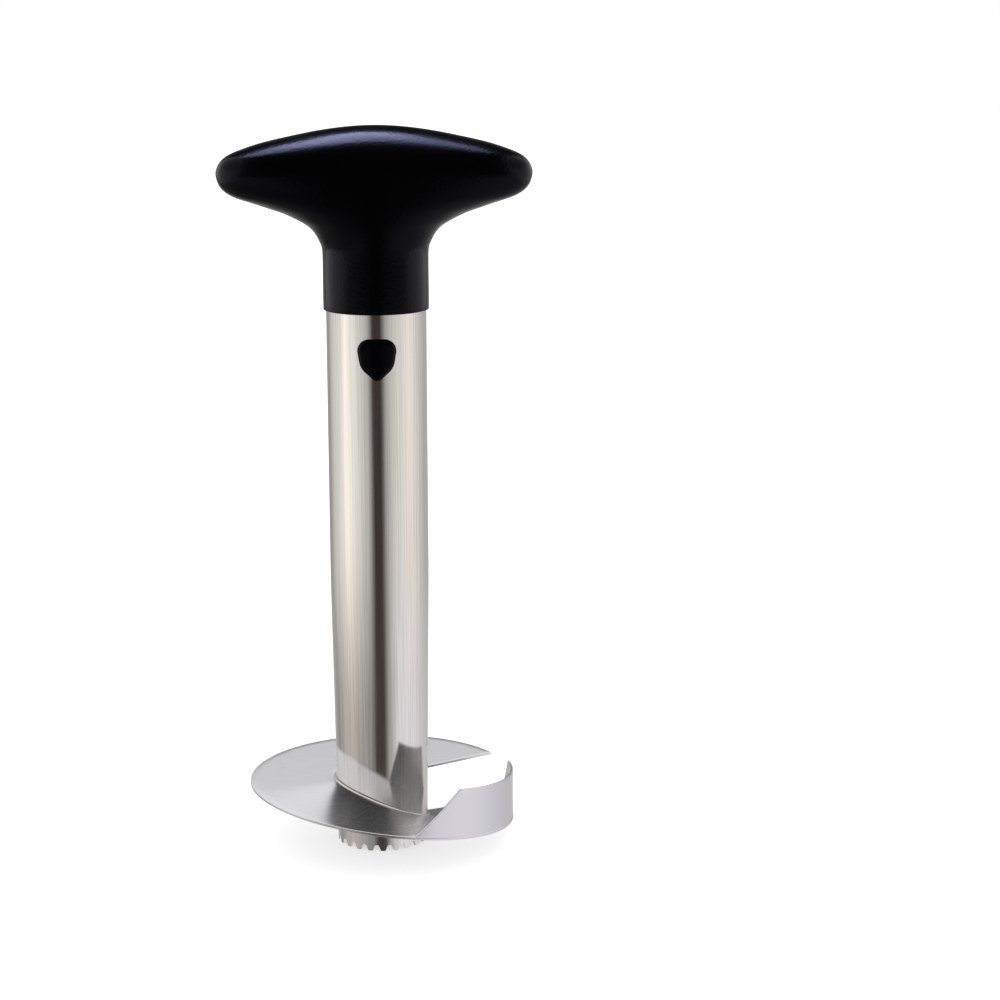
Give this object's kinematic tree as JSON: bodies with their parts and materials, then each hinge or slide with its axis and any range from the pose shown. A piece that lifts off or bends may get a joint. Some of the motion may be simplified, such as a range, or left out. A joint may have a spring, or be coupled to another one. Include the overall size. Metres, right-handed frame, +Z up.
{
  "type": "pineapple slicer",
  "caption": "Hand-turned pineapple corer and slicer: T handle with push-button latch on a toothed steel core tube, with a spiral slicing disc and side blade at its foot.",
  "frame": {"origin": "on the core tube's axis, in the plane of the tooth tips on which the slicer stands", "axes": "+Z up the core tube towards the handle, X along the handle's bar, -Y towards the front button"},
  "size_m": [0.1008, 0.088, 0.2375],
  "materials": {
    "tube_steel": "lengthwise satin brush on drawn stainless tube",
    "disc_steel": "bright rolled stainless sheet",
    "side_blade_steel": "satin rolled stainless strip",
    "handle_plastic": "fine spark-eroded texture, black",
    "latch_plastic": "smooth moulded, black",
    "button_plastic": "smooth moulded, black",
    "screw_steel": "bright zinc-plated",
    "spring_steel": "drawn stainless spring wire"
  },
  "bodies": {
    "slicer": {"core_tube": "tube_steel", "slicing_disc": "disc_steel", "side_blade": "side_blade_steel", "handle_front_shell": "handle_plastic", "handle_rear_shell": "handle_plastic", "handle_screw_left": "screw_steel", "handle_screw_middle": "screw_steel", "handle_screw_right": "screw_steel", "latch_housing": "latch_plastic", "latch_cover": "latch_plastic", "cover_screw": "screw_steel", "front_button_spring": "spring_steel", "rear_button_spring": "spring_steel"},
    "front_button": {"front_button": "button_plastic"},
    "rear_button": {"rear_button": "button_plastic"}
  },
  "joints": [
    {"name": "front_button_press", "type": "slide", "parent": "slicer", "child": "front_button", "axis": [0, 1, 0], "range_m": [0, 0.0022], "stiffness_N_per_m": 800, "springref_m": -0.002, "deforming": ["front_button_spring"]},
    {"name": "rear_button_press", "type": "slide", "parent": "slicer", "child": "rear_button", "axis": [0, -1, 0], "range_m": [0, 0.0022], "stiffness_N_per_m": 800, "springref_m": -0.002, "deforming": ["rear_button_spring"]}
  ]
}
